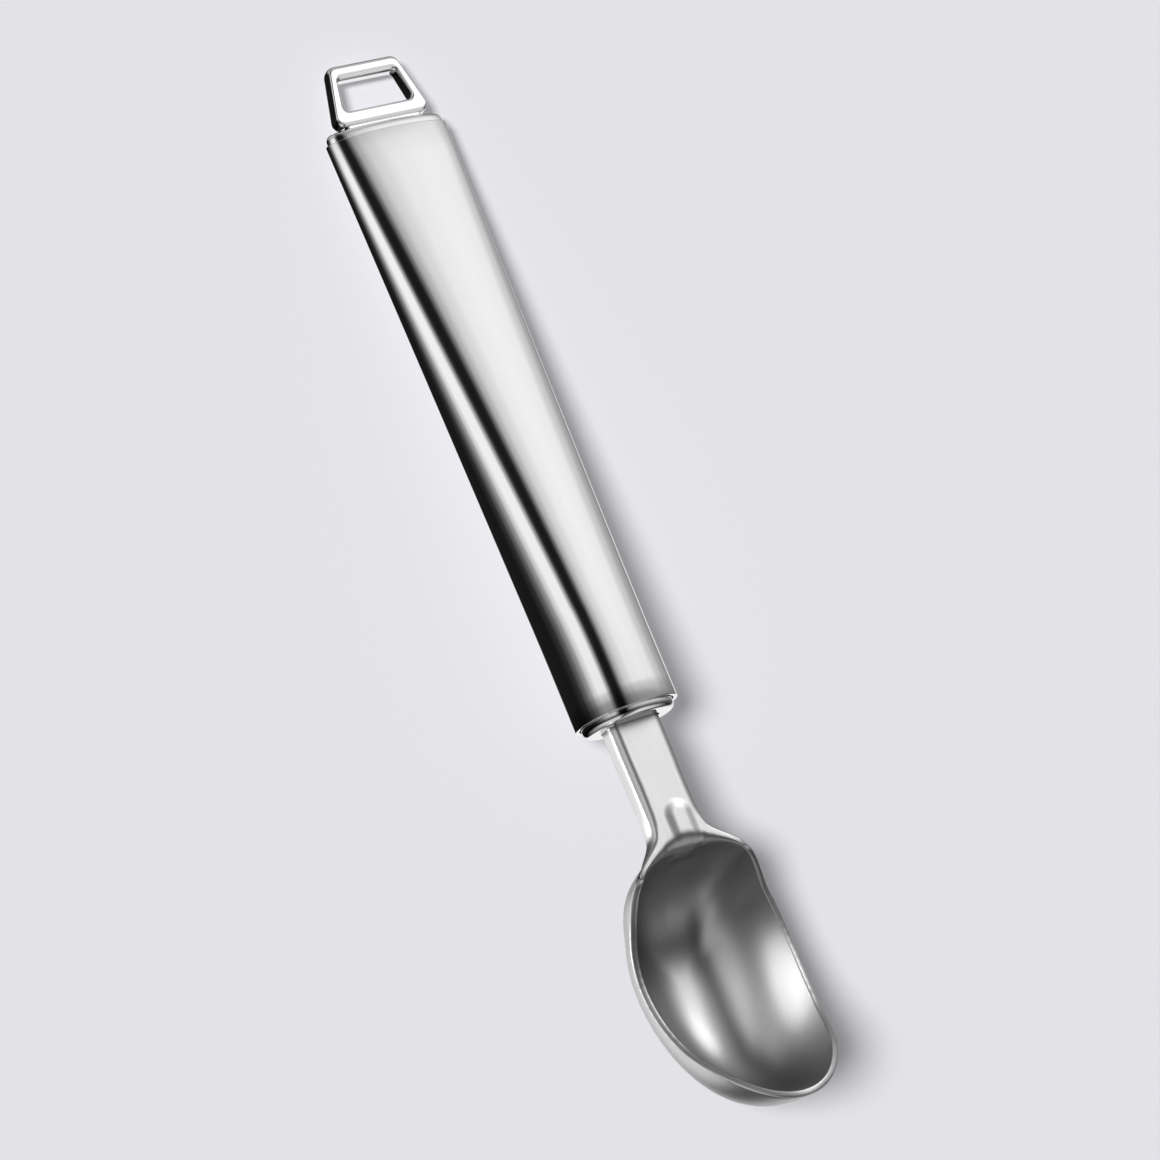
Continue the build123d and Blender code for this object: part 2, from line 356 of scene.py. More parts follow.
def rear_cap(material):
    rear_width, rear_thickness = REAR_WIDTH / 2, REAR_THICKNESS / 2
    start = HANDLE_LENGTH - REAR_CAP_DEPTH
    inner = tube_size(start)
    stations = [
        (start, inner[0] - TUBE_WALL, inner[1] - TUBE_WALL),
        (HANDLE_LENGTH, rear_width - TUBE_WALL, rear_thickness - TUBE_WALL),
        (HANDLE_LENGTH, rear_width - REAR_CAP_INSET, rear_thickness - REAR_CAP_INSET),
    ]
    stations += cap_rounding(
        REAR_CAP_PROUD,
        REAR_CAP_ROUND,
        rear_width - REAR_CAP_INSET,
        rear_thickness - REAR_CAP_INSET,
        HANDLE_LENGTH,
        1,
    )
    cap = ring_body(stations)
    close_end()
    close_first_end(cap, start)
    outward(cap)
    finish_piece(cap, "rear_cap_polished", "rear_cap", material, sharp=40)


# ---------------------------------------------------------------- hanging loop


def rounded_outline(corners, radius):
    """Outline through corners, counter-clockwise, each corner an arc of LOOP_ARC_STEPS."""
    points = []
    for i, corner in enumerate(corners):
        before = (corners[i - 1] - corner).normalized()
        after = (corners[(i + 1) % len(corners)] - corner).normalized()
        half = before.angle(after) / 2
        centre = corner + (before + after).normalized() * radius / math.sin(half)
        start = corner + before * radius / math.tan(half) - centre
        first = math.atan2(start.y, start.x)
        for k in range(LOOP_ARC_STEPS + 1):
            angle = first + (math.pi - 2 * half) * k / LOOP_ARC_STEPS
            points.append(centre + Vector((math.cos(angle), math.sin(angle))) * radius)
    return points


def trapezoid(base_y, base_width, tip_y, tip_width):
    return [
        Vector((-base_width / 2, base_y)),
        Vector((base_width / 2, base_y)),
        Vector((tip_width / 2, tip_y)),
        Vector((-tip_width / 2, tip_y)),
    ]


def rounded(value, squareness):
    """Sine or cosine as it runs round a rectangle with soft corners."""
    return math.copysign(abs(value) ** (2 / squareness), value)


def hanging_loop(material):
    base_y = HANDLE_LENGTH + REAR_CAP_PROUD + LOOP_GAP
    tip_y = base_y + LOOP_LENGTH
    lean = (LOOP_BASE_WIDTH - LOOP_TIP_WIDTH) / LOOP_LENGTH
    hole_base = LOOP_BASE_WIDTH - lean * LOOP_BASE - 2 * LOOP_SIDE
    hole_tip = LOOP_TIP_WIDTH + lean * LOOP_TIP - 2 * LOOP_SIDE
    outer = rounded_outline(trapezoid(base_y, LOOP_BASE_WIDTH, tip_y, LOOP_TIP_WIDTH), LOOP_CORNER)
    inner = rounded_outline(
        trapezoid(base_y + LOOP_BASE, hole_base, tip_y - LOOP_TIP, hole_tip), HOLE_CORNER
    )
    select_none()
    bpy.ops.mesh.primitive_torus_add(
        major_segments=len(outer), minor_segments=LOOP_SECTION_STEPS, location=(0, 0, 0)
    )
    loop = bpy.context.object
    for index, vertex in enumerate(loop.data.vertices):
        station, step = divmod(index, LOOP_SECTION_STEPS)
        turn = 2 * math.pi * (step + 0.5) / LOOP_SECTION_STEPS
        to_tip = smooth_step(base_y + LOOP_BASE, tip_y - LOOP_TIP, outer[station].y)
        squareness = mix(LOOP_SQUARENESS, LOOP_TIP_SQUARENESS, to_tip)
        across = 0.5 + 0.5 * rounded(math.cos(turn), squareness)
        place = inner[station].lerp(outer[station], across)
        height = LOOP_CENTRE_Z + LOOP_THICKNESS / 2 * rounded(math.sin(turn), squareness)
        vertex.co = (place.x, place.y, height)
    outward(loop)
    stub_start = base_y - LOOP_GAP - 3.0
    select_none()
    middle_y = (stub_start + base_y + 1.0) / 2
    bpy.ops.mesh.primitive_cube_add(size=1.0, location=(0, middle_y, LOOP_CENTRE_Z))
    stub = bpy.context.object
    stub.scale = (LOOP_STUB_WIDTH, base_y + 1.0 - stub_start, LOOP_STUB_THICKNESS)
    bpy.ops.object.transform_apply(location=True, rotation=True, scale=True)
    apply_modifier(stub, "BEVEL", width=0.4, segments=3)
    loop.select_set(True)
    bpy.context.view_layer.objects.active = loop
    bpy.ops.object.join()
    finish_piece(loop, "hanging_loop_bright", "hanging_loop", material, sharp=40)


# ---------------------------------------------------------------- scoop head


def bowl_reach(turn):
    """Half length of the bowl in the direction turn, which changes smoothly front to back."""
    side = math.sin(turn)
    eased = side * (1.5 - 0.5 * side * side)
    return mix(BOWL_FRONT, BOWL_BACK, (eased + 1) / 2)


def back_fullness(turn):
    """Share by which the bowl reaches further towards its back corners."""
    from_back = math.pi / 2 - abs(math.atan2(math.sin(turn), math.cos(turn)) - math.pi / 2)
    rise = smooth_step(math.radians(26), BACK_CORNER, from_back)
    fall = smooth_step(BACK_CORNER, math.radians(84), from_back)
    return 1 + BACK_FULLNESS * (rise - fall)


def bowl_point(turn, lift):
    """Point of the bowl's inner face: turn goes round it, lift goes down from its top."""
    across = max(0.0, math.cos(lift)) ** (2 / FLOOR_FULLNESS) * back_fullness(turn)
    drop = math.sin(lift) ** (2 / WALL_FULLNESS)
    return Vector(
        (
            BOWL_HALF_WIDTH * across * math.cos(turn),
            BOWL_CENTRE_Y + bowl_reach(turn) * across * math.sin(turn),
            BOWL_TOP_Z - BOWL_DROP * drop,
        )
    )


def lift_at(turn, height):
    """Lift at which the bowl's wall is at the height that height(point) asks for."""
    low, high = math.radians(0.0001), math.radians(85)
    for _ in range(26):
        middle = (low + high) / 2
        point = bowl_point(turn, middle)
        if point.z > height(point):
            low = middle
        else:
            high = middle
    return middle


def rim_height(point):
    return along(RIM, -point.y)


def shoulder_share(turn):
    """0 in the middle of the neck, 1 at and past the shoulders."""
    corner = math.pi / 4 - CORNER_TURN
    return min(1.0, abs(math.atan2(math.sin(turn), math.cos(turn)) - math.pi / 2) / corner)


def neck_column(turn):
    """Column of the neck, -1 to 1, that leaves the bowl in the direction turn."""
    square_turn = turn
    for _ in range(6):
        square_turn = turn - CORNER_TURN * math.sin(2 * square_turn)
    return math.sqrt(2) * math.cos(square_turn)


def neck_bend(turn):
    """Radius of the bend from the neck into the bowl, which stays inside the neck's outline."""
    share = shoulder_share(turn)
    if share >= 1:
        return 0.0
    column = abs(neck_column(turn))
    edge = bowl_point(turn, lift_at(turn, rim_height))
    level = bowl_point(turn - 0.01, math.radians(30)) - bowl_point(turn + 0.01, math.radians(30))
    out = Vector((-level.y, level.x, 0)).normalized()
    low, high = 0.0, NECK_BEND * (1 - share**1.3)
    for _ in range(14):
        bend = (low + high) / 2
        end = edge + out * bend
        if abs(end.x) < mix(column, 1.0, 0.6) * flat_half(end.y):
            low = bend
        else:
            high = bend
    return high


def wall_top(turn):
    """Lift where the bowl's wall ends: at the rim, or where the neck's bend begins."""
    bend = neck_bend(turn)
    return lift_at(turn, lambda point: rim_height(point) - bend)


def disc(u, v):
    """Square grid position to disc position, as (turn, share of the way out)."""
    x = u * math.sqrt(1 - v * v / 2)
    y = v * math.sqrt(1 - u * u / 2)
    turn = math.atan2(y, x)
    return turn + CORNER_TURN * math.sin(2 * turn), min(1.0, math.hypot(x, y))


def bowl_patch():
    """Bowl's inner face as a grid whose back edge meets the neck."""
    select_none()
    bpy.ops.mesh.primitive_grid_add(
        x_subdivisions=BOWL_DIVISIONS, y_subdivisions=BOWL_DIVISIONS, size=2.0
    )
    patch = bpy.context.object
    tops = {}
    for vertex in patch.data.vertices:
        turn, share = disc(vertex.co.x, vertex.co.y)
        key = round(turn, 6)
        if key not in tops:
            tops[key] = wall_top(turn)
        lift = mix(math.pi / 2, tops[key], share)
        vertex.co = bowl_point(turn, lift)
    return patch


def neck_half(y):
    return along(NECK, -y)


def neck_corner(y):
    """Radius of the rounded edge at y, which runs out towards the shoulders."""
    return SHANK_EDGE_ROUND * smooth_step(SHOULDER_Y, FULL_FLANGE_Y, y)


def neck_flange(y):
    """Straight part of the flange below the rounded edge at y."""
    return (SHANK_DEPTH - SHANK_EDGE_ROUND) * smooth_step(SHOULDER_Y - 1.0, FULL_FLANGE_Y, y)


def flange_turn(y):
    """How far the flange is turned down at y."""
    return math.pi / 2 * smooth_step(SHOULDER_Y - 6.0, FULL_FLANGE_Y, y)


def flat_half(y):
    """Half width of the neck's flat face."""
    return neck_half(y) - neck_corner(y)


def bend_rows(crest_columns):
    """Rows from the bowl's wall over the bend to the level neck."""
    rows = []
    for r in range(BEND_ROWS + 1):
        share = r / BEND_ROWS
        row = []
        for point, wall_way, out, bend in crest_columns:
            end = point + out * bend
            end.z = rim_height(end)
            first = point + wall_way * bend * BEND_PULL
            second = end - out * bend * BEND_PULL
            left = 1 - share
            place = point * left**3 + first * (3 * share * left**2)
            place += second * (3 * share**2 * left) + end * share**3
            row.append(place)
        rows.append(row)
    return rows


def wall_columns():
    """Where the neck's columns leave the bowl's wall, and which way they go."""
    columns = []
    for i in range(BOWL_DIVISIONS + 1):
        turn, _ = disc(-1 + 2 * i / BOWL_DIVISIONS, 1.0)
        lift = wall_top(turn)
        point = bowl_point(turn, lift)
        wall_way = (point - bowl_point(turn, lift + 0.01)).normalized()
        level = bowl_point(turn - 0.01, lift) - bowl_point(turn + 0.01, lift)
        level.z = 0
        level.normalize()
        columns.append((point, wall_way, Vector((-level.y, level.x, 0)), neck_bend(turn)))
    return columns


def neck_rows(crest):
    """Rows along the flare and the shank, without their flanges."""
    rows = []
    count = len(crest) - 1
    for r in range(1, NECK_ROWS + 1):
        share = r / NECK_ROWS
        row = []
        for i, start in enumerate(crest):
            even = -1 + 2 * i / count
            first = start.x / flat_half(start.y)
            if i in (0, count):
                first = even
            y = mix(start.y, STRAIGHT_SHANK_Y, share)
            place = Vector((0, y, 0))
            place.x = mix(first, even, smooth_step(0, 1, share)) * flat_half(y)
            place.z = rim_height(place)
            row.append(place)
        rows.append(row)
    half = SHANK_WIDTH / 2 - SHANK_EDGE_ROUND
    for y in (-8.0, -3.0, 0.0, 12.0, TANG_LENGTH):
        rows.append([Vector(((-1 + 2 * i / count) * half, y, SHANK_TOP_Z)) for i in range(count + 1)])
    return rows


def flank(edge, side, grown):
    """Points from the plate's edge round the corner and down the flange."""
    corner = neck_corner(edge.y) * grown
    depth = neck_flange(edge.y) * grown
    bent = flange_turn(edge.y)
    points = []
    for k in range(1, FLANK_COLUMNS + 1):
        round_part = min(1.0, k / FLANK_ROUND_COLUMNS)
        straight_part = max(0.0, (k - FLANK_ROUND_COLUMNS) / (FLANK_COLUMNS - FLANK_ROUND_COLUMNS))
        angle = bent * round_part
        run = depth * straight_part
        across = corner * math.sin(angle) + run * math.cos(bent)
        down = corner * (1 - math.cos(angle)) + run * math.sin(bent)
        points.append(edge + Vector((side * across, 0, -down)))
    return points


def neck_patch():
    """Bend, flare and shank, with flanges turned down along both sides."""
    bend = bend_rows(wall_columns())
    rows = [(row, 0.0) for row in bend]
    for r, row in enumerate(neck_rows(bend[-1])):
        rows.append((row, min(1.0, (r + 1) / FLANK_GROWTH_ROWS)))
    places = []
    for row, grown in rows:
        places += reversed(flank(row[0], -1, grown))
        places += row
        places += flank(row[-1], 1, grown)
    width = BOWL_DIVISIONS + 1 + 2 * FLANK_COLUMNS
    select_none()
    bpy.ops.mesh.primitive_grid_add(x_subdivisions=width - 1, y_subdivisions=len(rows) - 1, size=2.0)
    patch = bpy.context.object
    for vertex, place in zip(patch.data.vertices, places):
        vertex.co = place
    return patch


def press_bead(head):
    """Raises the bead down the middle of the neck and the bend."""
    normals = [v.normal.copy() for v in head.data.vertices]
    for vertex, normal in zip(head.data.vertices, normals):
        reach = -vertex.co.y + max(0.0, SHANK_TOP_Z - vertex.co.z)
        if reach > BEAD_END:
            continue
        across = abs(vertex.co.x - BEAD_CENTRE_X) / (BEAD_WIDTH / 2)
        start = (BEAD_START + BEAD_WIDTH / 2 - reach) / (BEAD_WIDTH / 2)
        off = math.hypot(across, max(0.0, start))
        height = BEAD_HEIGHT * (1 - smooth_step(0.3, 1.0, off))
        height *= 1 - smooth_step(BEAD_END - BEAD_FADE, BEAD_END, reach)
        vertex.co += normal * height


def round_rim(head):
    """Rounds both edges of the cut rim."""
    beside = {}
    for face in head.data.polygons:
        for key in face.edge_keys:
            beside.setdefault(key, []).append(face)
    values = [0.0] * len(head.data.edges)
    for edge in head.data.edges:
        faces = beside[tuple(sorted(edge.vertices))]
        if {face.material_index for face in faces} == {0, 1}:
            values[edge.index] = RIM_ROUND
    attribute = head.data.attributes.new("bevel_weight_edge", "FLOAT", "EDGE")
    attribute.data.foreach_set("value", values)
    apply_modifier(
        head,
        "BEVEL",
        width=1.0,
        segments=3,
        limit_method="WEIGHT",
        use_clamp_overlap=False,
        material=0,
    )


def ease_shoulders(head):
    """Smooth the sheet where the neck's flanges run out into the bowl's rim."""
    take(head)
    bpy.ops.object.mode_set(mode="EDIT")
    bpy.ops.mesh.select_mode(type="VERT")
    bpy.ops.object.mode_set(mode="OBJECT")
    for step in range(SHOULDER_PASSES):
        share = step / (SHOULDER_PASSES - 1)
        low = mix(*SHOULDER_LOW_Y, share)
        high = mix(*SHOULDER_HIGH_Y, share)
        depth = mix(*SHOULDER_DEPTH, share)
        bpy.ops.object.mode_set(mode="EDIT")
        bpy.ops.mesh.select_all(action="DESELECT")
        bpy.ops.object.mode_set(mode="OBJECT")
        for vertex in head.data.vertices:
            near = low < vertex.co.y < high and abs(vertex.co.x) > SHOULDER_X
            vertex.select = near and vertex.co.z > rim_height(vertex.co) - depth
        bpy.ops.object.mode_set(mode="EDIT")
        bpy.ops.mesh.vertices_smooth(factor=0.5, repeat=1)
        bpy.ops.object.mode_set(mode="OBJECT")


def scoop_head(material):
    bowl = bowl_patch()
    neck = neck_patch()
    take(bowl)
    neck.select_set(True)
    bpy.ops.object.join()
    head = bpy.context.object
    bpy.ops.object.mode_set(mode="EDIT")
    bpy.ops.mesh.select_all(action="SELECT")
    bpy.ops.mesh.remove_doubles(threshold=0.01)
    bpy.ops.object.mode_set(mode="OBJECT")
    up = sum(p.normal.z * p.area for p in head.data.polygons)
    if up < 0:
        bpy.ops.object.mode_set(mode="EDIT")
        bpy.ops.mesh.flip_normals()
        bpy.ops.object.mode_set(mode="OBJECT")
    press_bead(head)
    ease_shoulders(head)
    head.data.materials.append(material)
    head.data.materials.append(material)
    apply_modifier(head, "SOLIDIFY", thickness=SHEET, offset=-1.0, material_offset_rim=1)
    round_rim(head)
    finish_piece(head, "scoop_head_pressed", "scoop_head", material, sharp=50)


# ---------------------------------------------------------------- steel finishes


def group_socket(group, name, kind, way, value=None):
    socket = group.interface.new_socket(name=name, in_out=way, socket_type=kind)
    if value is not None:
        socket.default_value = value
    return socket


CLOUD_SCALE = 90.0  # soft patches in a metre
CLOUD_SHARE = 0.6  # how much they change the roughness, beside the lines
GRAIN_RELIEF = 0.00002  # height of the lines, in metres
GRAIN_INPUTS = {
    "Roughness": 0.1,
    "Roughness Change": 0.03,
    "Across Scale": 4000.0,
    "Along Scale": 60.0,
    "Bright": (0.8, 0.8, 0.8, 1),
    "Dull": (0.7, 0.7, 0.7, 1),
}


def grain_group():
    """Fine lines drawn along Y, as roughness and height, with soft cloudy wear."""
    group = bpy.data.node_groups.new("drawn_grain", "ShaderNodeTree")
    for name, value in GRAIN_INPUTS.items():
        kind = "NodeSocketFloat" if isinstance(value, float) else "NodeSocketColor"
        group_socket(group, name, kind, "INPUT", value)
    group_socket(group, "Color", "NodeSocketColor", "OUTPUT")
    group_socket(group, "Roughness", "NodeSocketFloat", "OUTPUT")
    group_socket(group, "Height", "NodeSocketFloat", "OUTPUT")
    nodes, links = group.nodes, group.links
    inputs = nodes.new("NodeGroupInput")
    outputs = nodes.new("NodeGroupOutput")
    place = nodes.new("ShaderNodeTexCoord")
    turn = nodes.new("ShaderNodeMapping")
    turn.inputs["Rotation"].default_value = (-REST_TILT, 0, 0)
    scale = nodes.new("ShaderNodeCombineXYZ")
    stretch = nodes.new("ShaderNodeVectorMath")
    stretch.operation = "MULTIPLY"
    lines = nodes.new("ShaderNodeTexNoise")
    lines.inputs["Scale"].default_value = 1.0
    lines.inputs["Detail"].default_value = 3.0
    clouds = nodes.new("ShaderNodeTexNoise")
    clouds.inputs["Scale"].default_value = CLOUD_SCALE
    clouds.inputs["Detail"].default_value = 2.0
    both = nodes.new("ShaderNodeMath")
    both.operation = "MULTIPLY_ADD"
    both.inputs[1].default_value = CLOUD_SHARE
    change = nodes.new("ShaderNodeMath")
    change.operation = "MULTIPLY_ADD"
    centred = nodes.new("ShaderNodeMath")
    centred.operation = "SUBTRACT"
    centred.inputs[1].default_value = 0.5 * (1 + CLOUD_SHARE)
    blend = nodes.new("ShaderNodeMix")
    blend.data_type = "RGBA"
    links.new(place.outputs["Object"], turn.inputs["Vector"])
    links.new(inputs.outputs["Across Scale"], scale.inputs["X"])
    links.new(inputs.outputs["Along Scale"], scale.inputs["Y"])
    links.new(inputs.outputs["Across Scale"], scale.inputs["Z"])
    links.new(turn.outputs["Vector"], stretch.inputs[0])
    links.new(scale.outputs["Vector"], stretch.inputs[1])
    links.new(stretch.outputs["Vector"], lines.inputs["Vector"])
    links.new(place.outputs["Object"], clouds.inputs["Vector"])
    links.new(clouds.outputs["Fac"], both.inputs[0])
    links.new(lines.outputs["Fac"], both.inputs[2])
    links.new(both.outputs["Value"], centred.inputs[0])
    links.new(centred.outputs["Value"], change.inputs[0])
    links.new(inputs.outputs["Roughness Change"], change.inputs[1])
    links.new(inputs.outputs["Roughness"], change.inputs[2])
    links.new(lines.outputs["Fac"], blend.inputs["Factor"])
    links.new(inputs.outputs["Bright"], blend.inputs["A"])
    links.new(inputs.outputs["Dull"], blend.inputs["B"])
    links.new(blend.outputs["Result"], outputs.inputs["Color"])
    links.new(change.outputs["Value"], outputs.inputs["Roughness"])
    links.new(lines.outputs["Fac"], outputs.inputs["Height"])
    return group


# Roughness and its change, lines across and along in a metre, bright and dull steel, relief
FINISHES = {
    "polished_handle_steel": (0.10, 0.04, 5000, 60, 0.94, 0.90, 0.02),
    "mirror_cap_steel": (0.05, 0.02, 3000, 300, 0.94, 0.90, 0.0),
    "rear_cap_steel": (0.09, 0.03, 3000, 300, 0.94, 0.90, 0.02),
    "bright_loop_steel": (0.10, 0.03, 3000, 300, 0.95, 0.92, 0.02),
    # The scoop head's satin roughness is real, but its base colour (0.45 and 0.41, against about 0.94
    # and 0.90 on the other steel) is painted shade: it dims every reflection on the head, and the
    # lamps linked to the head give back its highlights.
    "satin_scoop_steel_painted_shade": (0.34, 0.04, 2500, 120, 0.45, 0.41, 0.02),
}


def steel(name, group):
    roughness, change, across, lengthwise, bright, dull, bump = FINISHES[name]
    material = bpy.data.materials.new(name)
    material.use_nodes = True
    nodes, links = material.node_tree.nodes, material.node_tree.links
    shader = nodes["Principled BSDF"]
    shader.inputs["Metallic"].default_value = 1.0
    grain = nodes.new("ShaderNodeGroup")
    grain.node_tree = group
    grain.inputs["Roughness"].default_value = roughness
    grain.inputs["Roughness Change"].default_value = change
    grain.inputs["Across Scale"].default_value = across
    grain.inputs["Along Scale"].default_value = lengthwise
    grain.inputs["Bright"].default_value = (bright, bright, bright * 1.004, 1)
    grain.inputs["Dull"].default_value = (dull, dull, dull * 1.004, 1)
    relief = nodes.new("ShaderNodeBump")
    relief.inputs["Strength"].default_value = bump
    relief.inputs["Distance"].default_value = GRAIN_RELIEF
    links.new(grain.outputs["Color"], shader.inputs["Base Color"])
    links.new(grain.outputs["Roughness"], shader.inputs["Roughness"])
    links.new(grain.outputs["Height"], relief.inputs["Height"])
    links.new(relief.outputs["Normal"], shader.inputs["Normal"])
    return material


# ---------------------------------------------------------------- studio


def grey(level):
    """Linear value of a display grey from 0 to 255."""
    share = level / 255
    return share / 12.92 if share <= 0.04045 else ((share + 0.055) / 1.055) ** 2.4


# Brightness seen round the handle axis: degrees from straight up towards +X
ROUND_THE_HANDLE = (
    (-180, 30), (-112, 26), (-92, 48), (-80, 95), (-68, 150), (-56, 225), (-48, 255), (-33, 255),
    (-28, 165), (-23, 38), (-18, 21), (-9, 24), (-5, 110), (0, 184), (10, 226), (24, 250),
    (40, 255), (62, 250), (80, 215), (99, 178), (124, 146), (136, 150), (146, 190), (155, 240),
    (165, 230), (176, 100), (180, 30),
)
# Brightness against elevation towards the loop, as a share of the value round the handle
ALONG_THE_HANDLE = (
    (-90, 20), (-45, 40), (-25, 60), (-14, 110), (0, 150), (6, 205), (11, 250), (20, 255),
    (30, 245), (42, 210), (57, 175), (90, 150),
)
# Light beyond the two ends of the handle, by angle along it and by angle round it
PAST_THE_ENDS = ((-90, 230), (-50, 230), (-34, 160), (-22, 0), (40, 0), (56, 190), (90, 220))
BANDS_PAST_THE_ENDS = (
    (-180, 120), (-130, 170), (-75, 255), (-30, 235), (-12, 90), (6, 120), (30, 250), (80, 240),
    (115, 110), (140, 70), (160, 180), (180, 120),
)
STEEL_SHARE = 0.84  # light that the steel gives back
# Pale table low on the right, as bright at every angle along the handle: its soft edges, by
# direction, and its grey
TABLE_RIGHT = (1.05, 1.35)  # slant times the part to the right, and the part down
TABLE_SLANT = 1.6
TABLE_DOWN = (0.45, 0.75)
TABLE_GREY = 250
PAPER = (227, 226, 231)  # red, green and blue of the paper


def ramp_from(nodes, points, low, high):
    """Smooth ramp of greys through points, over angles from low to high."""
    ramp = nodes.new("ShaderNodeValToRGB")
    ramp.color_ramp.interpolation = "EASE"
    elements = ramp.color_ramp.elements
    while len(elements) > 1:
        elements.remove(elements[-1])
    for i, (place, level) in enumerate(points):
        share = (place - low) / (high - low)
        element = elements[0] if i == 0 else elements.new(share)
        element.position = share
        value = grey(level)
        element.color = (value, value, value, 1)
    return ramp


def smooth_mask(nodes, links, value, limits):
    """0 below the limits, 1 above them."""
    mask = nodes.new("ShaderNodeMapRange")
    mask.interpolation_type = "SMOOTHSTEP"
    mask.inputs["From Min"].default_value = limits[0]
    mask.inputs["From Max"].default_value = limits[1]
    links.new(value, mask.inputs["Value"])
    return mask.outputs["Result"]


def paper_colour():
    return (*(grey(level) for level in PAPER), 1)


def studio_world():
    """Soft studio that only the steel mirrors, and plain paper behind it."""
    world = bpy.data.worlds.new("studio")
    bpy.context.scene.world = world
    world.use_nodes = True
    nodes, links = world.node_tree.nodes, world.node_tree.links
    nodes.clear()
    way = nodes.new("ShaderNodeTexCoord")
    turn = nodes.new("ShaderNodeMapping")
    turn.inputs["Rotation"].default_value = (-REST_TILT, 0, 0)
    parts = nodes.new("ShaderNodeSeparateXYZ")
    links.new(way.outputs["Generated"], turn.inputs["Vector"])
    links.new(turn.outputs["Vector"], parts.inputs["Vector"])

    def math_node(operation, *values):
        node = nodes.new("ShaderNodeMath")
        node.operation = operation
        for i, value in enumerate(values):
            if isinstance(value, (int, float)):
                node.inputs[i].default_value = value
            else:
                links.new(value, node.inputs[i])
        return node.outputs["Value"]

    round_angle = math_node("ARCTAN2", parts.outputs["X"], parts.outputs["Z"])
    round_share = math_node("MULTIPLY_ADD", round_angle, 1 / (2 * math.pi), 0.5)
    up_angle = math_node("ARCSINE", parts.outputs["Y"])
    up_share = math_node("MULTIPLY_ADD", up_angle, 1 / math.pi, 0.5)
    round_ramp = ramp_from(nodes, ROUND_THE_HANDLE, -180, 180)
    up_ramp = ramp_from(nodes, ALONG_THE_HANDLE, -90, 90)
    links.new(round_share, round_ramp.inputs["Fac"])
    links.new(up_share, up_ramp.inputs["Fac"])
    both = math_node("MULTIPLY", round_ramp.outputs["Color"], up_ramp.outputs["Color"])
    end_ramp = ramp_from(nodes, PAST_THE_ENDS, -90, 90)
    links.new(up_share, end_ramp.inputs["Fac"])
    end_bands = ramp_from(nodes, BANDS_PAST_THE_ENDS, -180, 180)
    links.new(round_share, end_bands.inputs["Fac"])
    ends = math_node("MULTIPLY", end_ramp.outputs["Color"], end_bands.outputs["Color"])
    both = math_node("MAXIMUM", both, ends)
    under = math_node("MULTIPLY", parts.outputs["Z"], -1.0)
    right = math_node("MULTIPLY_ADD", parts.outputs["X"], TABLE_SLANT, under)
    table_edge = smooth_mask(nodes, links, right, TABLE_RIGHT)
    below = smooth_mask(nodes, links, under, TABLE_DOWN)
    table = math_node("MULTIPLY", table_edge, below)
    table = math_node("MULTIPLY", table, grey(TABLE_GREY))
    seen = math_node("MAXIMUM", both, table)
    seen = math_node("DIVIDE", seen, STEEL_SHARE)
    shining = nodes.new("ShaderNodeBackground")
    links.new(seen, shining.inputs["Strength"])
    pale = nodes.new("ShaderNodeBackground")
    pale.inputs["Color"].default_value = paper_colour()
    path = nodes.new("ShaderNodeLightPath")
    choose = nodes.new("ShaderNodeMixShader")
    output = nodes.new("ShaderNodeOutputWorld")
    links.new(path.outputs["Is Camera Ray"], choose.inputs["Fac"])
    links.new(shining.outputs["Background"], choose.inputs[1])
    links.new(pale.outputs["Background"], choose.inputs[2])
    links.new(choose.outputs["Shader"], output.inputs["Surface"])
    world.cycles_visibility.diffuse = False


def floor():
    select_none()
    bpy.ops.mesh.primitive_plane_add(size=6.0, location=(0, 0, 0))
    plane = bpy.context.object
    plane.name = "studio_floor"
    material = bpy.data.materials.new("pale_paper")
    material.use_nodes = True
    shader = material.node_tree.nodes["Principled BSDF"]
    shader.inputs["Base Color"].default_value = paper_colour()
    shader.inputs["Roughness"].default_value = 1.0
    shader.inputs["Specular IOR Level"].default_value = 0.0
    plane.data.materials.append(material)
    plane.visible_glossy = False
    plane.visible_shadow = False


KEY_WAY = Vector((-0.78, 0.06, 1.0))  # from the object towards the key light
KEY_SHARE = 0.66
KEY_SOFTNESS = math.radians(16)


def lights():
    bpy.ops.object.light_add(type="SUN", location=(0, 0, 1))
    key = bpy.context.object
    key.name = "key_light"
    key.rotation_euler = KEY_WAY.to_track_quat("Z", "Y").to_euler()
    key.data.angle = KEY_SOFTNESS
    steep = KEY_WAY.normalized().z
    key.data.energy = math.pi * KEY_SHARE / steep
    key.visible_glossy = False
    bpy.ops.object.light_add(type="SUN", location=(0, 0, 1))
    fill = bpy.context.object
    fill.name = "fill_light"
    fill.data.energy = math.pi * (1 - KEY_SHARE)
    fill.data.use_shadow = False
    fill.visible_glossy = False


# Soft lamps that one piece mirrors: angle round the handle and along it in degrees, width in
# degrees, brightness and the piece. Low_lamp shines up through the floor, which casts no shadow
MIRRORED_LAMPS = {
    "front_lamp": (28, 7, 26, 1.65, "scoop_head_pressed"),
    "bowl_lamp": (40, 28, 26, 3.2, "scoop_head_pressed"),
    "loop_lamp": (24, 0, 80, 0.5, "hanging_loop_bright"),
    "left_lamp": (-68, 8, 100, 0.6, "scoop_head_pressed"),
    "low_lamp": (-150, 5, 64, 1.4, "scoop_head_pressed"),
    "wall_lamp": (-118, 19, 20, 18.0, "scoop_head_pressed"),
}
UNBLOCKED_LAMP = "wall_lamp"  # shines through every piece, for the bowl's second highlight


def group_of(name, piece):
    group = bpy.data.collections.new(name)
    group.objects.link(bpy.data.objects[piece])
    return group


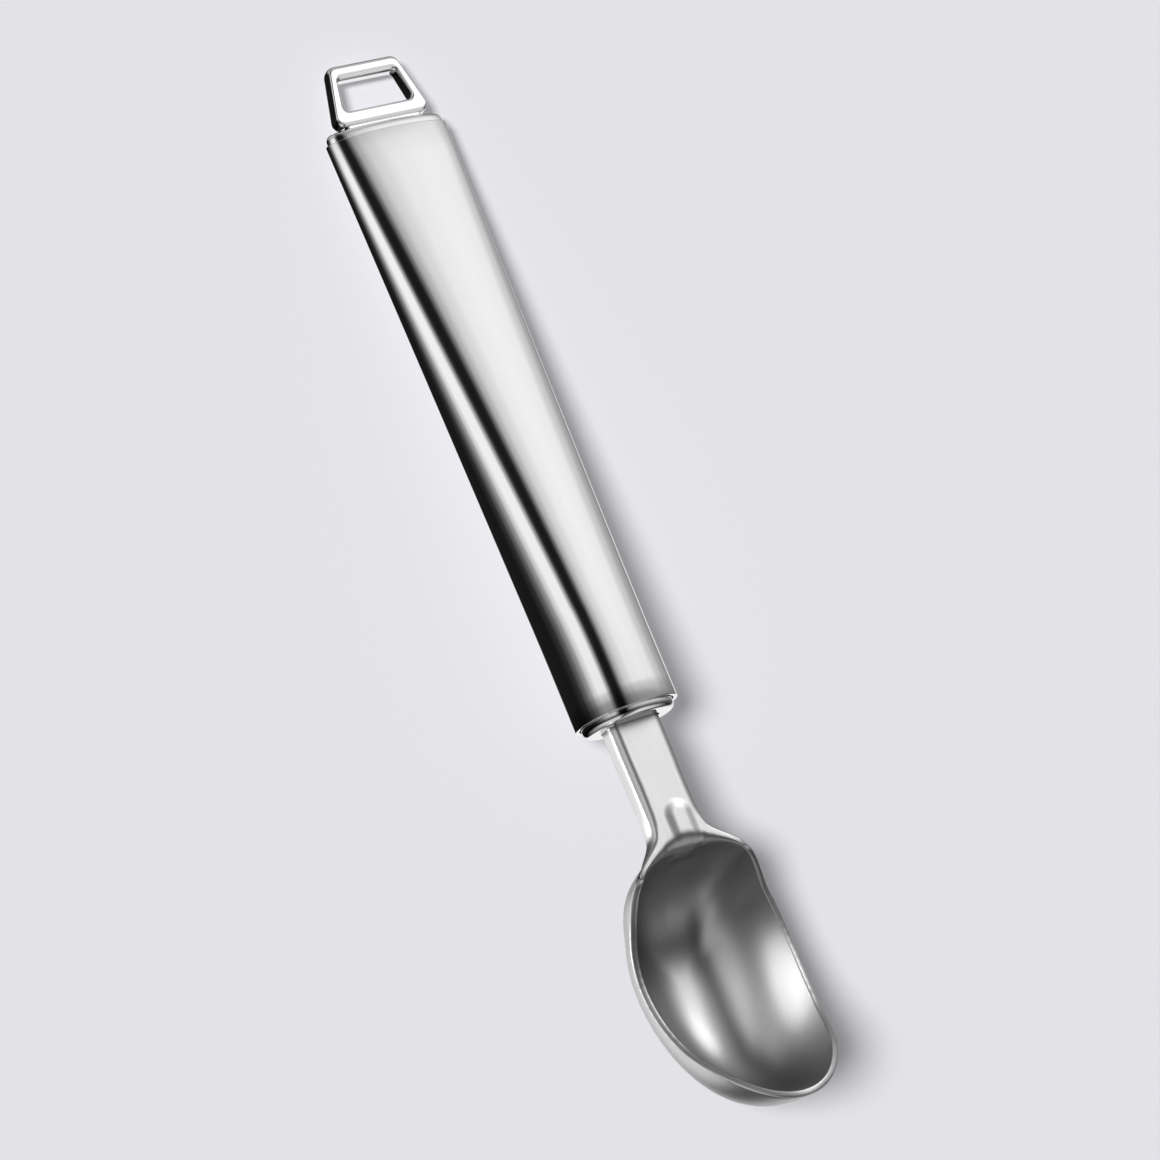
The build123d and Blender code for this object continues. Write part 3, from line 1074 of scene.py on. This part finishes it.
def mirrored_lamps():
    for name, (round_angle, up_angle, width, brightness, piece) in MIRRORED_LAMPS.items():
        turned, raised = math.radians(round_angle), math.radians(up_angle)
        way = Vector((math.sin(turned), math.tan(raised), math.cos(turned)))
        way.rotate(Matrix.Rotation(REST_TILT, 3, "X"))
        bpy.ops.object.light_add(type="SUN", location=(0, 0, 1))
        lamp = bpy.context.object
        lamp.name = name
        lamp.rotation_euler = way.to_track_quat("Z", "Y").to_euler()
        lamp.data.angle = math.radians(width)
        lamp.data.energy = brightness * math.pi * math.sin(lamp.data.angle / 2) ** 2
        lamp.visible_diffuse = False
        lamp.light_linking.receiver_collection = group_of(name + "_pieces", piece)
        if name == UNBLOCKED_LAMP:
            lamp.light_linking.blocker_collection = group_of(name + "_blockers", "studio_floor")
    # Light thrown off the head would lie on the floor beside it as a pale glow
    bpy.data.objects["scoop_head_pressed"].visible_diffuse = False


CAMERA_PLACE = Vector((-0.282687, -0.082578, 0.558486))
CAMERA_AIM = Vector((-0.001198, -0.004074, 0.018320))
CAMERA_ROLL = math.radians(56.421728)
CAMERA_LENS = 108.6207


def camera():
    bpy.ops.object.camera_add(location=CAMERA_PLACE)
    lens = bpy.context.object
    lens.name = "camera"
    lens.rotation_mode = "QUATERNION"
    aim = (CAMERA_AIM - CAMERA_PLACE).to_track_quat("-Z", "Y")
    roll = Matrix.Rotation(CAMERA_ROLL, 4, "Z").to_quaternion()
    lens.rotation_quaternion = aim @ roll
    lens.data.lens = CAMERA_LENS
    lens.data.sensor_width = 36.0
    lens.data.clip_start = 0.01
    lens.data.clip_end = 20.0
    bpy.context.scene.camera = lens


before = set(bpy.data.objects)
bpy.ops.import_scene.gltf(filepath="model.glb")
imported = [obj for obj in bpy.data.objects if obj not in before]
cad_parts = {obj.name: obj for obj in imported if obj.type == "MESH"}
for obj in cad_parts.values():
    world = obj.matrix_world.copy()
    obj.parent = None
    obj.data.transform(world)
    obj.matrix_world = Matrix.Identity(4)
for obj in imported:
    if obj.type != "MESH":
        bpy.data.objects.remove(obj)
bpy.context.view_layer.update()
bpy.context.scene.view_settings.view_transform = "Standard"
bpy.context.scene.view_settings.look = "None"

camera()
studio_world()
floor()
lights()

grain = grain_group()
handle_tube(steel("polished_handle_steel", grain))
front_cap(steel("mirror_cap_steel", grain))
rear_cap(steel("rear_cap_steel", grain))
hanging_loop(steel("bright_loop_steel", grain))
scoop_head(steel("satin_scoop_steel_painted_shade", grain))
mirrored_lamps()
